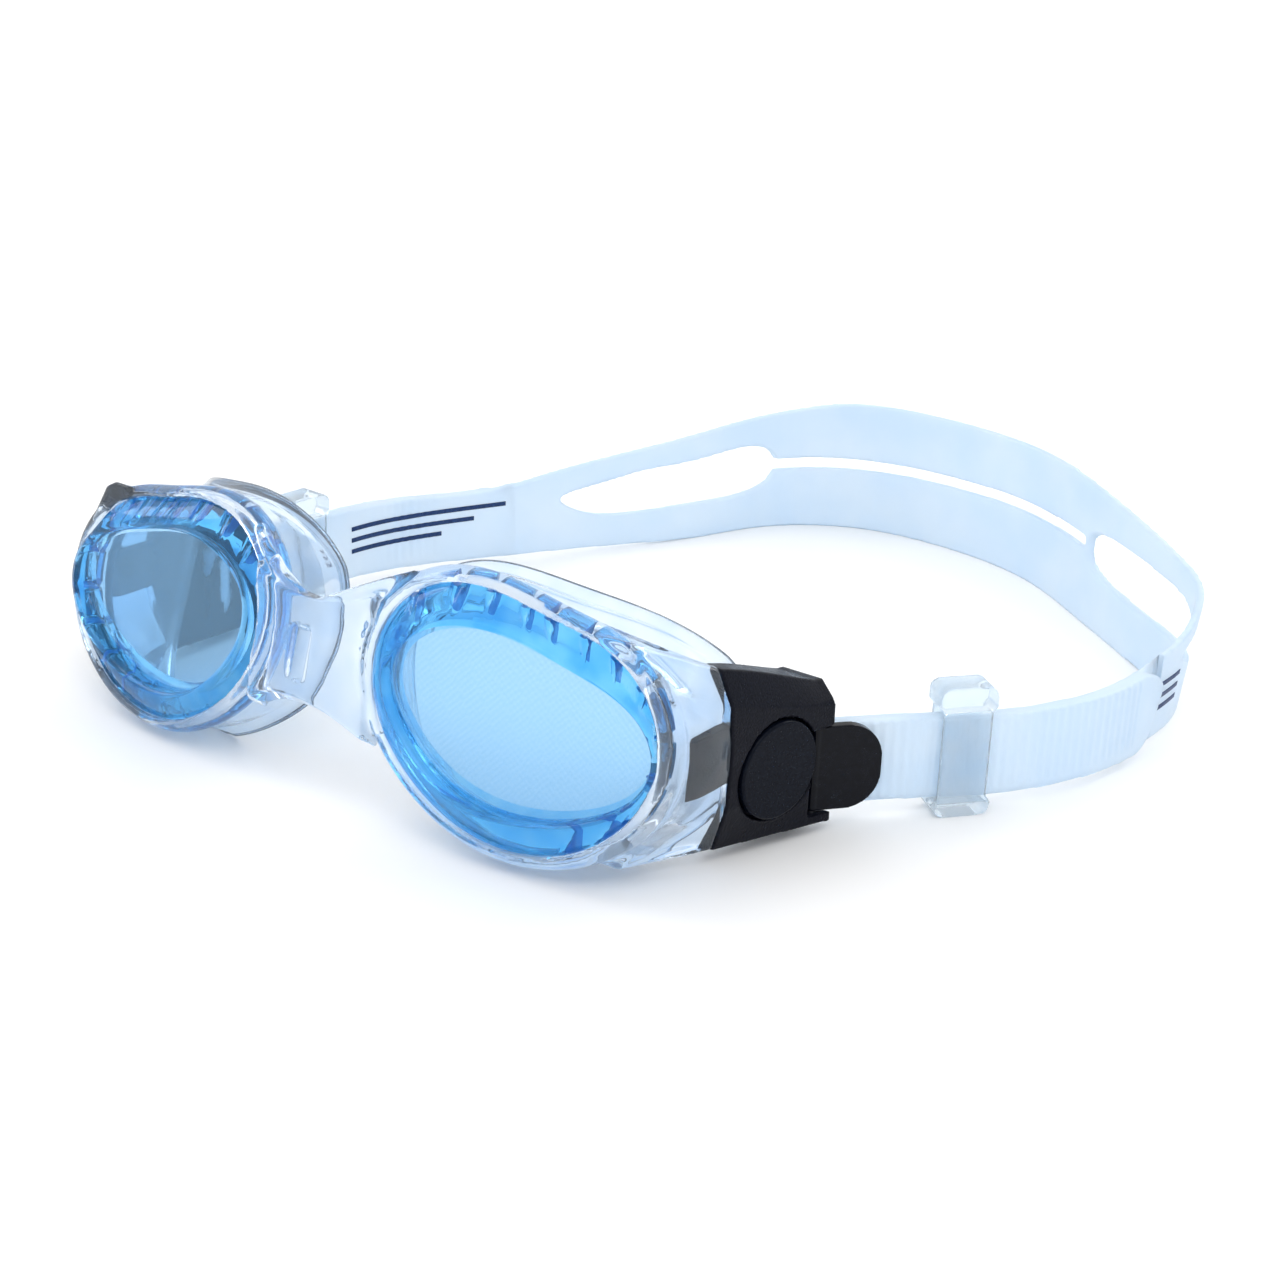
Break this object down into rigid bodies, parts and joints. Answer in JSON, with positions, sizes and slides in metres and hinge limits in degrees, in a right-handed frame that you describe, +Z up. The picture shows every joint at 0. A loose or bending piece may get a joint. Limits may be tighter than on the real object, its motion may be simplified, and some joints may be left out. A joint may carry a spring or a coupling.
{
  "type": "swim goggles",
  "caption": "Swim goggles with a clear frame, blue lenses, soft seals, quick-adjust buckles and a split silicone strap.",
  "frame": {"origin": "middle of the base of the overall box, on the table", "axes": "+X to the wearer's left, +Y from the lenses back to the strap, +Z up"},
  "size_m": [0.1872, 0.208, 0.05],
  "materials": {
    "clear_frame": "clear polycarbonate",
    "blue_lens": "tinted polycarbonate",
    "seal": "translucent silicone",
    "strap": "translucent ribbed silicone",
    "clear_sleeve": "clear plastic",
    "buckle": "fine grain with polished edges",
    "button": "satin",
    "lever": "polished",
    "steel": "plain"
  },
  "bodies": {
    "goggles": {"front_frame": "clear_frame", "head_strap": "strap", "left_lens": "blue_lens", "left_face_seal": "seal", "left_buckle_body": "buckle", "left_lever_pin": "steel", "left_button_spring": "steel", "right_lens": "blue_lens", "right_face_seal": "seal", "right_buckle_body": "buckle", "right_lever_pin": "steel", "right_button_spring": "steel"},
    "left_button": {"left_release_button": "button"},
    "left_lever": {"left_strap_lever": "lever"},
    "left_roller": {"left_strap_roller": "steel"},
    "left_sleeve": {"left_keeper": "clear_sleeve"},
    "right_button": {"right_release_button": "button"},
    "right_lever": {"right_strap_lever": "lever"},
    "right_roller": {"right_strap_roller": "steel"},
    "right_sleeve": {"right_keeper": "clear_sleeve"}
  },
  "joints": [
    {"name": "left_button_press", "type": "slide", "parent": "goggles", "child": "left_button", "axis": [-0.982, 0.1891, 0], "range_m": [0, 0.0008], "stiffness_N_per_m": 300, "springref_m": -0.0006, "deforming": ["left_button_spring"]},
    {"name": "left_lever_swing", "type": "hinge", "parent": "goggles", "child": "left_lever", "pos_m": [0.06056, -0.04902, 0.0125], "axis": [0, 0, -1], "range_deg": [0, 40]},
    {"name": "left_roller_spin", "type": "hinge", "parent": "goggles", "child": "left_roller", "pos_m": [0.05496, -0.05382, 0.012], "axis": [0, 0, 1], "continuous": true},
    {"name": "left_sleeve_slide", "type": "slide", "parent": "goggles", "child": "left_sleeve", "axis": [0.6157, 0.788, 0], "range_m": [-0.01, 0.0008]},
    {"name": "right_button_press", "type": "slide", "parent": "goggles", "child": "right_button", "axis": [0.982, 0.1891, 0], "range_m": [0, 0.0008], "stiffness_N_per_m": 300, "springref_m": -0.0006, "deforming": ["right_button_spring"]},
    {"name": "right_lever_swing", "type": "hinge", "parent": "goggles", "child": "right_lever", "pos_m": [-0.09064, -0.04902, 0.0125], "axis": [0, 0, 1], "range_deg": [0, 60]},
    {"name": "right_roller_spin", "type": "hinge", "parent": "goggles", "child": "right_roller", "pos_m": [-0.08504, -0.05382, 0.012], "axis": [0, 0, 1], "continuous": true},
    {"name": "right_sleeve_slide", "type": "slide", "parent": "goggles", "child": "right_sleeve", "axis": [0.0523, 0.9986, 0], "range_m": [-0.0018, 0.0075]}
  ]
}
